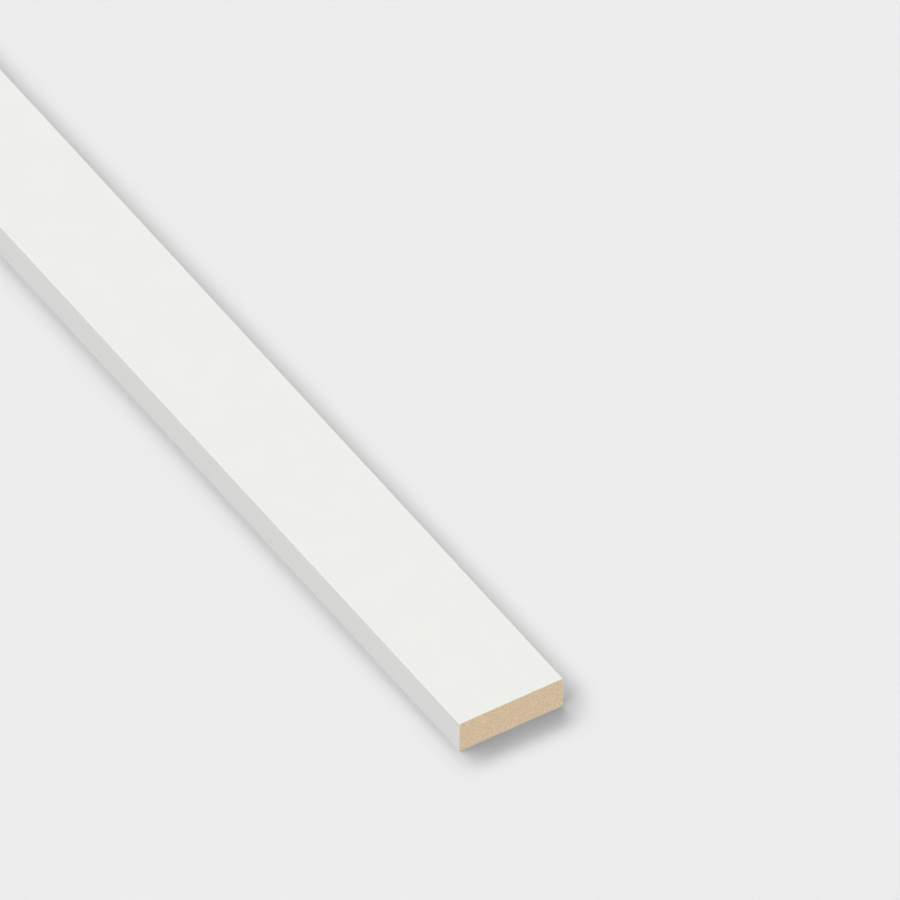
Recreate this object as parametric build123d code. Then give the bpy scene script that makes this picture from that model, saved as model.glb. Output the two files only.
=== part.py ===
from build123d import *
import os

# Flat moulding: one straight length of white-finished fibreboard trim, sawn square at both ends.
# It lies on its back. X runs along the length, Y across the face and Z up through the board.
# The origin is at the middle of the back, so the underside lies on Z = 0.

# Driving dimensions, in millimetres
LENGTH = 2400.0
WIDTH = 36.0
THICKNESS = 11.0
# The four long arrises are only broken, so that the finish wraps round them.
ARRIS_RADIUS = 0.1


def moulding_section():
    """The outline across the length: a flat face on top, two square edges and a flat back."""
    with BuildSketch(Plane.YZ) as section:
        Rectangle(WIDTH, THICKNESS, align=(Align.CENTER, Align.MIN))
        fillet(section.vertices(), ARRIS_RADIUS)
    return section.sketch


def flat_moulding():
    """The section run along X, half the length each way, and left square and sharp at the saw cuts."""
    return extrude(moulding_section(), amount=LENGTH / 2, both=True)


os.makedirs("parts", exist_ok=True)
export_step(flat_moulding(), "parts/flat_moulding.step")
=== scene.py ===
"""Flat moulding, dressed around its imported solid: a white-finished strip with bare sawn ends.

It is laid out as an add-on and run as a script. One operator builds the strip, one the studio.
Everything is in metres, X along the strip, Y across its face and Z up, with the back on Z = 0.
"""

import math

import bpy
import numpy as np
from bpy.props import FloatProperty, FloatVectorProperty, IntProperty, PointerProperty
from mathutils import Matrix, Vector


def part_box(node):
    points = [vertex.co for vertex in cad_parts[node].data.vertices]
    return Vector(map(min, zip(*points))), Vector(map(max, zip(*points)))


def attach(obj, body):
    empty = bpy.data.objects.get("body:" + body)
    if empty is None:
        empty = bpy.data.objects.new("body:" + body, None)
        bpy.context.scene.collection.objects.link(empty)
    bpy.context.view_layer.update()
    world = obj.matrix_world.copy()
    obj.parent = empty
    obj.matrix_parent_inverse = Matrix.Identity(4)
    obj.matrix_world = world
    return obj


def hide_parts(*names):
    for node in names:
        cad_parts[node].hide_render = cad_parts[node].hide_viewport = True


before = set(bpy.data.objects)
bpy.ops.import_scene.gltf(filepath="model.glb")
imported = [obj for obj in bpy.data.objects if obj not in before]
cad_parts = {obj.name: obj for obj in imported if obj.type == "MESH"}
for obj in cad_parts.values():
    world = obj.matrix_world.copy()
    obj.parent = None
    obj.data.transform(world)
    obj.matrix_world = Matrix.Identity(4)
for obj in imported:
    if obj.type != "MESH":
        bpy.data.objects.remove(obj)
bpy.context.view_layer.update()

bl_info = {
    "name": "Flat moulding",
    "version": (1, 0, 0),
    "blender": (4, 5, 0),
    "location": "3D View > Sidebar > Moulding",
    "description": "Builds a white-finished fibreboard strip with sawn ends, and a studio for it",
    "category": "Object",
}

CAD_NODE = "flat_moulding"
LOWEST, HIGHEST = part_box(CAD_NODE)
LENGTH = HIGHEST.x - LOWEST.x
WIDTH = HIGHEST.y - LOWEST.y
THICKNESS = HIGHEST.z - LOWEST.z
MM = 0.001

# The mesh goes round each arris in this many steps, and the sawn relief fades out over this many of
# its cells at the rim.
ARRIS_STEPS = 5
FADE_CELLS = 3

# The torn fibres are this many waves, with lengths in mm across the face and through the board. No
# tear is deeper than the last value times the tear-out depth.
TEAR_WAVES = 90
TEAR_ACROSS = (0.4, 1.2)
TEAR_THROUGH = (0.35, 0.9)
DEEPEST_TEAR = 2

# The bake map has a clear margin round its parts, and the long faces lie in it as this many bands.
MAP_MARGIN = 0.006
MAP_BANDS = 4

# A lamp's lean is how far it throws a shadow along +X and +Y for each unit of height.
STEEP_LEAN = (-0.03, -0.18)
FILL_LEAN = (-4.7, 0.0)

# The image's width and height in pixels, and in metres how far the floor reaches from the middle, how
# far off the camera stands and how far it sees.
IMAGE_PIXELS = 900
FLOOR_REACH = 10.0
CAMERA_DISTANCE = 3.0
CAMERA_REACH = 100.0


def linear(hex_colour):
    """An sRGB hex colour as linear red, green and blue."""
    parts = [int(hex_colour[i : i + 2], 16) / 255 for i in (1, 3, 5)]
    return tuple(p / 12.92 if p <= 0.04045 else ((p + 0.055) / 1.055) ** 2.4 for p in parts)


def colour(name, description, hex_colour):
    """A colour setting, its default given in sRGB hex."""
    return FloatVectorProperty(
        name=name,
        description=description,
        subtype="COLOR",
        size=3,
        min=0,
        max=1,
        default=linear(hex_colour),
    )


def length(name, description, metres):
    """A length setting."""
    return FloatProperty(
        name=name, description=description, unit="LENGTH", min=0, precision=5, default=metres
    )


def angle(name, description, degrees):
    """An angle setting, its default given in degrees."""
    return FloatProperty(
        name=name, description=description, subtype="ANGLE", default=math.radians(degrees)
    )


def level(name, description, default):
    """A setting for an amount of light, where 1 shows a colour as it is written."""
    return FloatProperty(
        name=name, description=description, subtype="FACTOR", min=0, max=1, default=default
    )


def pixel(name, description, default):
    """A setting for a row or a column of the image."""
    return FloatProperty(name=name, description=description, subtype="PIXEL", default=default)


def number(name, description, default):
    """A setting for a plain number."""
    return FloatProperty(name=name, description=description, default=default)


class StripSizes(bpy.types.PropertyGroup):
    """Sizes of the strip that its box doesn't give."""

    arris: length("Arris", "Radius of the four long arrises", 0.1 * MM)
    film: length("Finish film", "Thickness of the white finish where the saw cut shows it", 0.08 * MM)
    pitch: length("Sawn mesh pitch", "Spacing of the mesh over a sawn end", 0.15 * MM)
    ring_pitch: length("Ring pitch", "Spacing of the mesh along the strip", 100 * MM)
    tear_depth: length("Tear-out depth", "Depth of the pits where the saw tore fibres out", 0.012 * MM)
    saw_depth: length("Saw mark depth", "Depth of the arcs that the blade leaves", 0.002 * MM)
    saw_pitch: length("Saw mark pitch", "Spacing of the arcs that the blade leaves", 0.9 * MM)
    blade_radius: length("Blade radius", "Radius of the crosscut blade", 125 * MM)
    seed: IntProperty(name="Seed", description="Draw of the torn fibres", min=0, default=11)


class StripColours(bpy.types.PropertyGroup):
    """Colours of the finish and the board."""

    face: colour("Face", "White finish on the face and the back", "#EEF0EA")
    face_thin: colour("Face, thin", "Where that finish lies a little thinner", "#ECECE8")
    # The edges' colour is the white finish drawn a shade greyer: painted shade, standing in for part of
    # the shade that falls on the upright sides.
    edge: colour("Edge", "White finish on the two long edges", "#E9E9E7")
    fibre_pale: colour("Pale fibre", "Bundles that the saw cut clean", "#EDD6BE")
    fibre_dark: colour("Dark fibre", "Bark flecks and shadows between bundles", "#C6AA89")
    tint_yellow: colour("Yellow lean", "Tint of the patches that lean to yellow", "#FEFCE4")
    tint_pink: colour("Pink lean", "Tint of the patches that lean to pink", "#F4F7FF")


class StudioSettings(bpy.types.PropertyGroup):
    """Camera, floor and light."""

    azimuth: angle("View azimuth", "Turn of the view about Z", 57.41)
    elevation: angle("View elevation", "Height of the view", 43.83)
    frame_width: length("Frame width", "Width of what the camera sees", 263.5 * MM)
    corner_column: pixel("Corner column", "Image column of the near face corner", 459.15)
    corner_row: pixel("Corner row", "Image row of that corner", 724.3)
    floor: colour("Floor", "Plain pale floor", "#EDEDED")
    arc_lamps: IntProperty(
        name="Arc lamps", description="How many soft lamps stand on the arc", min=2, default=6
    )
    arc_from: angle("Arc from", "Turn about the arc's middle of the first lamp's lean", 97)
    arc_to: angle("Arc to", "Turn about the arc's middle of the last lamp's lean", -27)
    arc_middle: number("Arc middle", "Lean along X of the arc's middle", -0.14)
    arc_reach_x: number("Arc reach along X", "Most lean along X from the arc's middle", 1.04)
    arc_reach_y: number("Arc reach along Y", "Most lean along Y from the arc's middle", 0.86)
    arc_width: angle("Arc lamp width", "Width of each lamp on the arc", 25)
    arc_share: level("Arc share", "What the arc gives of the floor's light", 0.81)
    steep_width: angle("Steep lamp width", "Width of the lamp that stands nearly overhead", 10)
    steep_share: level("Steep share", "What that lamp gives of the floor's light", 0.065)
    fill_width: angle("Low fill width", "Width of the low lamp off the sawn end", 20)
    fill_share: level("Fill share", "What that lamp gives of the floor's light", 0.10)
    underlight: level("Underlight", "Even light from below the horizon", 0.85)


def add_node(tree, kind, inputs=None, **settings):
    """Adds one node. settings are its attributes, and inputs are values or sockets to link, by name."""
    made = tree.nodes.new(kind)
    for name, value in settings.items():
        setattr(made, name, value)
    for name, value in (inputs or {}).items():
        if isinstance(value, bpy.types.NodeSocket):
            tree.links.new(value, made.inputs[name])
        else:
            made.inputs[name].default_value = value
    return made


def new_material(name):
    """A material with an empty node tree, and that tree."""
    material = bpy.data.materials.new(name)
    material.use_nodes = True
    material.node_tree.nodes.clear()
    return material, material.node_tree


def sprayed_primer(colours, sizes):
    """Acrylic primer, sprayed and cured on sanded fibreboard: an even, slightly warm white with a
    low sheen. The film varies a shade from place to place and has a fine orange peel. The two long
    edges are drawn a shade greyer, which is painted shade for part of the shade on the upright sides."""
    # A pitch is about how wide a pattern's blobs are.
    shade_pitch = 11 * MM
    sheen_pitch = 4 * MM
    peel_pitch = 1.2 * MM
    peel_height = 0.006 * MM
    smoothest, roughest = 0.52, 0.6
    # The edges' painted shade takes over from the face's white round the arris.
    edge_shade_from = WIDTH / 2 - sizes.arris
    edge_shade_to = WIDTH / 2 - sizes.arris / 5

    material, tree = new_material("sprayed_acrylic_primer")
    place = add_node(tree, "ShaderNodeTexCoord").outputs["Object"]
    film = add_node(
        tree,
        "ShaderNodeTexNoise",
        {"Vector": place, "Scale": 1 / shade_pitch, "Detail": 3, "Roughness": 0.5},
    )
    face = add_node(
        tree,
        "ShaderNodeMix",
        {
            "Factor": film.outputs["Fac"],
            "A": (*colours.face_thin, 1),
            "B": (*colours.face, 1),
        },
        data_type="RGBA",
    )
    across = add_node(tree, "ShaderNodeSeparateXYZ", {"Vector": place}).outputs["Y"]
    off_middle = add_node(tree, "ShaderNodeMath", {0: across}, operation="ABSOLUTE")
    # Painted shade: towards the long edges the white turns to the greyer edge colour.
    edge_shade_mask = add_node(
        tree,
        "ShaderNodeMapRange",
        {"Value": off_middle.outputs[0], "From Min": edge_shade_from, "From Max": edge_shade_to},
    )
    shade = add_node(
        tree,
        "ShaderNodeMix",
        {
            "Factor": edge_shade_mask.outputs["Result"],
            "A": face.outputs["Result"],
            "B": (*colours.edge, 1),
        },
        data_type="RGBA",
    )
    drift = add_node(
        tree,
        "ShaderNodeTexNoise",
        {"Vector": place, "Scale": 1 / sheen_pitch, "Detail": 2, "Roughness": 0.5},
    )
    sheen = add_node(
        tree,
        "ShaderNodeMapRange",
        {"Value": drift.outputs["Fac"], "To Min": smoothest, "To Max": roughest},
    )
    ripple = add_node(
        tree,
        "ShaderNodeTexNoise",
        {"Vector": place, "Scale": 1 / peel_pitch, "Detail": 2, "Roughness": 0.5},
    )
    peel = add_node(
        tree,
        "ShaderNodeBump",
        {"Height": ripple.outputs["Fac"], "Strength": 1.0, "Distance": peel_height},
    )
    shader = add_node(
        tree,
        "ShaderNodeBsdfPrincipled",
        {
            "Base Color": shade.outputs["Result"],
            "Roughness": sheen.outputs["Result"],
            "Normal": peel.outputs["Normal"],
            "IOR": 1.48,
        },
    )
    add_node(tree, "ShaderNodeOutputMaterial", {"Surface": shader.outputs["BSDF"]})
    return material


def sawn_fibreboard(colours):
    """Medium-density fibreboard, crosscut by a circular saw: matt tan felt of short fibres, so that
    the cut is an even speckle of pale and dark flecks over fainter tufts, and patches of it lean a
    little to yellow or to pink."""
    # Real fibres are far finer than a pixel, so a fleck is drawn as coarse as a small bundle of them.
    fleck_pitch = 0.44 * MM
    tuft_pitch = 2.0 * MM
    tuft_part = 0.08
    # The pattern's values at which the board is darkest and palest.
    darkest, palest = 0.17, 0.83
    patch_pitch = 2.4 * MM
    # Flecks and patches are this much wider across the face than through the board.
    fleck_stretch = 1.25
    patch_stretch = 1.3
    fuzz_pitch = 0.2 * MM
    fuzz_height = 0.01 * MM

    material, tree = new_material("sawn_fibreboard")
    place = add_node(tree, "ShaderNodeTexCoord").outputs["Object"]
    lie = add_node(tree, "ShaderNodeMapping", {"Vector": place, "Scale": (1, 1 / fleck_stretch, 1)})
    fleck = add_node(
        tree,
        "ShaderNodeTexNoise",
        {"Vector": lie.outputs["Vector"], "Scale": 1 / fleck_pitch, "Detail": 1, "Roughness": 0.5},
    )
    tuft = add_node(
        tree,
        "ShaderNodeTexNoise",
        {"Vector": place, "Scale": 1 / tuft_pitch, "Detail": 2, "Roughness": 0.5},
    )
    blend = add_node(
        tree,
        "ShaderNodeMix",
        {"Factor": tuft_part, "A": fleck.outputs["Fac"], "B": tuft.outputs["Fac"]},
        data_type="FLOAT",
    )
    speckle = add_node(
        tree,
        "ShaderNodeMapRange",
        {"Value": blend.outputs["Result"], "From Min": darkest, "From Max": palest},
    )
    fibre = add_node(
        tree,
        "ShaderNodeMix",
        {
            "Factor": speckle.outputs["Result"],
            "A": (*colours.fibre_dark, 1),
            "B": (*colours.fibre_pale, 1),
        },
        data_type="RGBA",
    )
    layers = add_node(tree, "ShaderNodeMapping", {"Vector": place, "Scale": (1, 1 / patch_stretch, 1)})
    patch = add_node(
        tree,
        "ShaderNodeTexNoise",
        {"Vector": layers.outputs["Vector"], "Scale": 1 / patch_pitch, "Detail": 1, "Roughness": 0.5},
    )
    tint = add_node(
        tree,
        "ShaderNodeMix",
        {
            "Factor": patch.outputs["Fac"],
            "A": (*colours.tint_yellow, 1),
            "B": (*colours.tint_pink, 1),
        },
        data_type="RGBA",
    )
    shade = add_node(
        tree,
        "ShaderNodeMix",
        {"Factor": 1.0, "A": fibre.outputs["Result"], "B": tint.outputs["Result"]},
        data_type="RGBA",
        blend_type="MULTIPLY",
    )
    nap = add_node(
        tree,
        "ShaderNodeTexNoise",
        {"Vector": place, "Scale": 1 / fuzz_pitch, "Detail": 2, "Roughness": 0.5},
    )
    fuzz = add_node(
        tree,
        "ShaderNodeBump",
        {"Height": nap.outputs["Fac"], "Strength": 1.0, "Distance": fuzz_height},
    )
    shader = add_node(
        tree,
        "ShaderNodeBsdfPrincipled",
        {
            "Base Color": shade.outputs["Result"],
            "Roughness": 0.9,
            "Normal": fuzz.outputs["Normal"],
            "IOR": 1.45,
        },
    )
    add_node(tree, "ShaderNodeOutputMaterial", {"Surface": shader.outputs["BSDF"]})
    return material


def section_grid(sizes):
    """Points (y, z) over the section on a grid of rows and columns.

    Rows run from the back to the face: close together up each arris, where the height is r(1 - cos t)
    above the back or below the face, and evenly between. One more row lies a film's thickness from
    the back and one from the face. Half a row's width is W/2 less r - sqrt(r^2 - d^2), where d is how
    far the row lies into the arris. Columns are fixed shares of that width, evenly spaced, with one
    film's thickness at each side.
    """
    arc = sizes.arris * (1 - np.cos(np.linspace(0, math.pi / 2, ARRIS_STEPS + 1)))
    upright = THICKNESS - 2 * sizes.arris
    straight = np.linspace(sizes.arris, THICKNESS - sizes.arris, 1 + round(upright / sizes.pitch))
    rim = np.array([sizes.film, THICKNESS - sizes.film])
    # Rounded to a nanometre, so that heights that meet count once.
    heights = np.unique(np.concatenate([arc, straight, rim, THICKNESS - arc]).round(9))
    into = np.clip(sizes.arris - np.minimum(heights, THICKNESS - heights), 0, sizes.arris)
    half = WIDTH / 2 - sizes.arris + np.sqrt(sizes.arris**2 - into**2)
    inner = WIDTH / 2 - sizes.film
    columns = np.linspace(-inner, inner, 1 + round(2 * inner / sizes.pitch))
    shares = np.concatenate([[-1], columns / (WIDTH / 2), [1]])
    return shares[None, :] * half[:, None], np.repeat(heights[:, None], len(shares), 1)


def sawn_depth(y, z, sizes, turn):
    """How far the saw cut lies below its plane at each point.

    Torn fibres: a sum of cosines of seeded waves, over the square root of their number, of which only
    the half above zero cuts in, and no further than DEEPEST_TEAR times the tear-out depth. Saw marks:
    a cosine of the distance from the blade's centre. Both fade to nothing at the rim.
    """
    draw = np.random.default_rng(sizes.seed + turn)
    across = 2 * math.pi / (draw.uniform(*TEAR_ACROSS, TEAR_WAVES) * MM)
    across = across * draw.choice([-1, 1], TEAR_WAVES)
    through = 2 * math.pi / (draw.uniform(*TEAR_THROUGH, TEAR_WAVES) * MM)
    phase = draw.uniform(0, 2 * math.pi, TEAR_WAVES)
    waves = np.cos(y[..., None] * across + z[..., None] * through + phase)
    torn = sizes.tear_depth * np.clip(waves.sum(-1) / math.sqrt(TEAR_WAVES), 0, DEEPEST_TEAR)
    from_blade = np.hypot(y - WIDTH * draw.uniform(-1, 1), z + sizes.blade_radius)
    marks = sizes.saw_depth * (0.5 + 0.5 * np.cos(2 * math.pi * from_blade / sizes.saw_pitch))
    to_rim = np.minimum(np.minimum(z, THICKNESS - z), WIDTH / 2 - np.abs(y))
    return (torn + marks) * np.clip(to_rim / (FADE_CELLS * sizes.pitch), 0, 1)


def rim_of(rows, columns):
    """Row and column of each grid point on the rim, in turn: along the back, up one side, along the
    face and down the other side."""
    along = np.arange(columns)
    up = np.arange(1, rows)
    row = np.concatenate([0 * along, up, np.full(columns - 1, rows - 1), up[-2::-1]])
    column = np.concatenate([along, np.full(rows - 1, columns - 1), along[-2::-1], 0 * up[:-1]])
    return row, column


def strip_mesh(sizes):
    """The whole skin of the strip as one closed mesh: two sawn ends, each a grid over the section,
    and their shared rim carried along X in rings. The second value is what its bake map is laid out
    by: the grid's y and z, the points of the rim and the stations of the rings."""
    y, z = section_grid(sizes)
    rows, columns = y.shape
    points = rows * columns
    grid = np.arange(points).reshape(rows, columns)
    rim_row, rim_column = rim_of(rows, columns)
    rim = grid[rim_row, rim_column]
    rings = 1 + round(LENGTH / sizes.ring_pitch)
    stations = np.linspace(-LENGTH / 2, LENGTH / 2, rings)

    ends = [
        np.stack([side * (LENGTH / 2 - sawn_depth(y, z, sizes, turn)), y, z], -1).reshape(-1, 3)
        for turn, side in enumerate((-1, 1))
    ]
    rim_points = np.stack([y[rim_row, rim_column], z[rim_row, rim_column]], -1)
    between = np.empty((rings - 2, len(rim), 3))
    between[..., 0] = stations[1:-1, None]
    between[..., 1:] = rim_points[None]
    vertices = np.concatenate([*ends, between.reshape(-1, 3)])

    inner = 2 * points + np.arange((rings - 2) * len(rim)).reshape(rings - 2, len(rim))
    loops = np.concatenate([rim[None], inner, points + rim[None]])
    after = np.roll(loops, -1, 1)
    skin = np.stack([loops[:-1], after[:-1], after[1:], loops[1:]], -1)
    cap = np.stack([grid[:-1, :-1], grid[:-1, 1:], grid[1:, 1:], grid[1:, :-1]], -1)
    parts = (cap[..., ::-1], points + cap, skin)
    faces = np.concatenate([part.reshape(-1, 4) for part in parts])

    # The board shows on a sawn end, but not on the cells that stand for the film round it.
    middle = (z[:-1, :-1] + z[1:, :-1]) / 2
    board = np.minimum(middle, THICKNESS - middle) > sizes.film
    board[:, [0, -1]] = False
    on_cut = np.arange(len(faces)) < 2 * board.size
    slots = np.zeros(len(faces), np.int32)
    slots[on_cut] = np.tile(board.ravel(), 2)

    mesh = bpy.data.meshes.new("flat_moulding_skin")
    mesh.from_pydata(vertices, [], faces.tolist())
    mesh.polygons.foreach_set("material_index", slots)
    mesh.polygons.foreach_set("use_smooth", on_cut)
    mesh.update()
    return mesh, (y, z, rim_points, stations)


def bake_map(mesh, y, z, rim_points, stations):
    """Lays the skin out flat for a texture: each sawn end a rectangle in the top band, and the long
    faces unrolled below it, cut into equal lengths that lie one above another."""
    inside = 1 - 2 * MAP_MARGIN
    end_scale = (0.5 - 2 * MAP_MARGIN) / WIDTH
    cap_u = (y + WIDTH / 2) * end_scale
    cap_v = 1 - MAP_MARGIN - (THICKNESS - z) * end_scale
    cap = np.stack([cap_u, cap_v], -1)
    corner = np.stack([cap[:-1, :-1], cap[:-1, 1:], cap[1:, 1:], cap[1:, :-1]], -2)
    near = corner + (0.5 + MAP_MARGIN, 0)
    far = corner[:, :, ::-1] + (MAP_MARGIN, 0)

    closed = np.concatenate([rim_points, rim_points[:1]])
    unrolled = np.concatenate([[0], np.cumsum(np.hypot(*np.diff(closed, axis=0).T))])
    band = (inside - THICKNESS * end_scale) / MAP_BANDS
    share = (stations - stations[0]) / LENGTH * MAP_BANDS
    low, high = share[:-1], share[1:]
    rounding = 1e-6
    which = np.floor(low + rounding)
    u_low = MAP_MARGIN + (low - which) * inside
    u_high = MAP_MARGIN + (high - which) * inside
    v_all = unrolled / unrolled[-1] * (band - 2 * MAP_MARGIN)
    base = MAP_MARGIN + which * band
    u = np.stack([u_low, u_low, u_high, u_high], -1)[:, None, :].repeat(len(rim_points), 1)
    v = np.stack([v_all[:-1], v_all[1:], v_all[1:], v_all[:-1]], -1)[None] + base[:, None, None]
    skin = np.stack([u, v], -1)
    flat = np.concatenate([part.reshape(-1, 2) for part in (far, near, skin)])
    mesh.uv_layers.new(name="OFBake").uv.foreach_set("vector", flat.astype(np.float32).ravel())


class BuildStrip(bpy.types.Operator):
    """Builds the strip's skin with its finish and its sawn ends"""

    bl_idname = "moulding.build_strip"
    bl_label = "Build strip"

    def execute(self, context):
        sizes = context.scene.strip_sizes
        colours = context.scene.strip_colours
        mesh, layout = strip_mesh(sizes)
        bake_map(mesh, *layout)
        for material in (sprayed_primer(colours, sizes), sawn_fibreboard(colours)):
            mesh.materials.append(material)
        strip = bpy.data.objects.new("flat_moulding_strip", mesh)
        context.scene.collection.objects.link(strip)
        # Diffuse rays pass through the strip, so that only the lamps shape its shadow on the floor.
        strip.visible_diffuse = False
        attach(strip, "root")
        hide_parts(CAD_NODE)
        return {"FINISHED"}


def towards(azimuth, elevation):
    """Unit vector from the object to the camera. Azimuth 0 is at -Y and 90 degrees at +X."""
    return Vector(
        (
            math.sin(azimuth) * math.cos(elevation),
            -math.cos(azimuth) * math.cos(elevation),
            math.sin(elevation),
        )
    )


def add_lamp(name, lean, width, share):
    """A broad lamp far away, by its lean, its width as an angle and what it gives of the floor's
    light. A lamp of energy pi straight above shows a colour as it is written."""
    to_lamp = Vector((-lean[0], -lean[1], 1)).normalized()
    light = bpy.data.lights.new(name, "SUN")
    light.angle = width
    light.energy = math.pi * share / to_lamp.z
    lamp = bpy.data.objects.new(name, light)
    lamp.rotation_mode = "QUATERNION"
    lamp.rotation_quaternion = to_lamp.to_track_quat("Z", "Y")
    bpy.context.scene.collection.objects.link(lamp)


def add_lamps(settings):
    """An arc of alike soft lamps, one nearly overhead and a low fill. The arc's leans stand on an
    ellipse, (middle + reach_x cos t, reach_y sin t), with t in equal steps, so that together they cast
    the broad soft shadow of one long curved softbox."""
    each = settings.arc_share / settings.arc_lamps
    turns = np.linspace(settings.arc_from, settings.arc_to, settings.arc_lamps)
    for count, turn in enumerate(turns, 1):
        lean = (
            settings.arc_middle + settings.arc_reach_x * math.cos(turn),
            settings.arc_reach_y * math.sin(turn),
        )
        add_lamp(f"soft_lamp_{count}", lean, settings.arc_width, each)
    add_lamp("steep_lamp", STEEP_LEAN, settings.steep_width, settings.steep_share)
    add_lamp("low_fill", FILL_LEAN, settings.fill_width, settings.fill_share)


def add_floor(settings):
    """A level square under the strip, in one plain colour."""
    corners = [
        (-FLOOR_REACH, -FLOOR_REACH, 0),
        (FLOOR_REACH, -FLOOR_REACH, 0),
        (FLOOR_REACH, FLOOR_REACH, 0),
        (-FLOOR_REACH, FLOOR_REACH, 0),
    ]
    mesh = bpy.data.meshes.new("studio_floor")
    mesh.from_pydata(corners, [], [(0, 1, 2, 3)])
    material, tree = new_material("painted_studio_floor")
    shader = add_node(
        tree,
        "ShaderNodeBsdfPrincipled",
        {"Base Color": (*settings.floor, 1), "Roughness": 1.0, "Specular IOR Level": 0.0},
    )
    add_node(tree, "ShaderNodeOutputMaterial", {"Surface": shader.outputs["BSDF"]})
    mesh.materials.append(material)
    floor = bpy.data.objects.new("studio_floor", mesh)
    bpy.context.scene.collection.objects.link(floor)
    # Diffuse rays pass through the floor too, so that the shadow beside the strip doesn't darken its
    # faces and each of them keeps one even tone.
    floor.visible_diffuse = False


def add_surround(settings):
    """Even light from all round, at one level above the horizon and another below it. The upper one
    is what the lamps leave of a full level of 1 on the floor, and the lower one is what an endless lit
    floor sends up."""
    ambient = 1 - settings.arc_share - settings.steep_share - settings.fill_share
    world = bpy.data.worlds.new("studio_surround")
    world.use_nodes = True
    # Unsampled, it lights a surface only by the rays that leave that surface, so the strip and the
    # floor don't stand in the way of the diffuse ones.
    world.cycles.sampling_method = "NONE"
    tree = world.node_tree
    direction = add_node(tree, "ShaderNodeTexCoord").outputs["Generated"]
    height = add_node(tree, "ShaderNodeSeparateXYZ", {"Vector": direction}).outputs["Z"]
    below = add_node(tree, "ShaderNodeMath", {0: height, 1: 0.0}, operation="LESS_THAN")
    strength = add_node(
        tree,
        "ShaderNodeMapRange",
        {"Value": below.outputs[0], "To Min": ambient, "To Max": settings.underlight},
    )
    background = tree.nodes["Background"]
    background.inputs["Color"].default_value = (1, 1, 1, 1)
    tree.links.new(strength.outputs["Result"], background.inputs["Strength"])
    bpy.context.scene.world = world


def add_camera(settings):
    """A parallel view that puts the near face corner of the +X end on its place in the image."""
    back = towards(settings.azimuth, settings.elevation)
    turn = back.to_track_quat("Z", "Y")
    right = turn @ Vector((1, 0, 0))
    up = turn @ Vector((0, 1, 0))
    data = bpy.data.cameras.new("studio_camera")
    data.type = "ORTHO"
    data.ortho_scale = settings.frame_width
    data.clip_end = CAMERA_REACH
    camera = bpy.data.objects.new("studio_camera", data)
    corner = Vector((HIGHEST.x, LOWEST.y, HIGHEST.z))
    pixel_size = settings.frame_width / IMAGE_PIXELS
    to_right = (settings.corner_column - IMAGE_PIXELS / 2) * pixel_size
    to_top = (IMAGE_PIXELS / 2 - settings.corner_row) * pixel_size
    camera.location = corner - right * to_right - up * to_top + back * CAMERA_DISTANCE
    camera.rotation_mode = "QUATERNION"
    camera.rotation_quaternion = turn
    bpy.context.scene.collection.objects.link(camera)
    bpy.context.scene.camera = camera


class BuildStudio(bpy.types.Operator):
    """Builds the floor, the soft lamps, the even surround and the camera"""

    bl_idname = "moulding.build_studio"
    bl_label = "Build studio"

    def execute(self, context):
        settings = context.scene.studio
        add_floor(settings)
        add_lamps(settings)
        add_surround(settings)
        add_camera(settings)
        context.scene.view_settings.view_transform = "Standard"
        return {"FINISHED"}


class MouldingPanel(bpy.types.Panel):
    """Lists the sizes, the colours and the two build steps"""

    bl_idname = "VIEW3D_PT_flat_moulding"
    bl_label = "Flat moulding"
    bl_space_type = "VIEW_3D"
    bl_region_type = "UI"
    bl_category = "Moulding"

    def draw(self, context):
        for name in ("strip_sizes", "strip_colours", "studio"):
            group = getattr(context.scene, name)
            box = self.layout.box()
            for setting in group.__annotations__:
                box.prop(group, setting)
        self.layout.operator(BuildStrip.bl_idname)
        self.layout.operator(BuildStudio.bl_idname)


CLASSES = (StripSizes, StripColours, StudioSettings, BuildStrip, BuildStudio, MouldingPanel)


def register():
    """Makes the classes known and gives the scene its settings."""
    for cls in CLASSES:
        bpy.utils.register_class(cls)
    bpy.types.Scene.strip_sizes = PointerProperty(type=StripSizes)
    bpy.types.Scene.strip_colours = PointerProperty(type=StripColours)
    bpy.types.Scene.studio = PointerProperty(type=StudioSettings)


def unregister():
    """Takes away what register added."""
    del bpy.types.Scene.studio
    del bpy.types.Scene.strip_colours
    del bpy.types.Scene.strip_sizes
    for cls in reversed(CLASSES):
        bpy.utils.unregister_class(cls)


def main():
    """Registers the add-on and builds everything."""
    register()
    bpy.ops.moulding.build_strip()
    bpy.ops.moulding.build_studio()


if __name__ == "__main__":
    main()
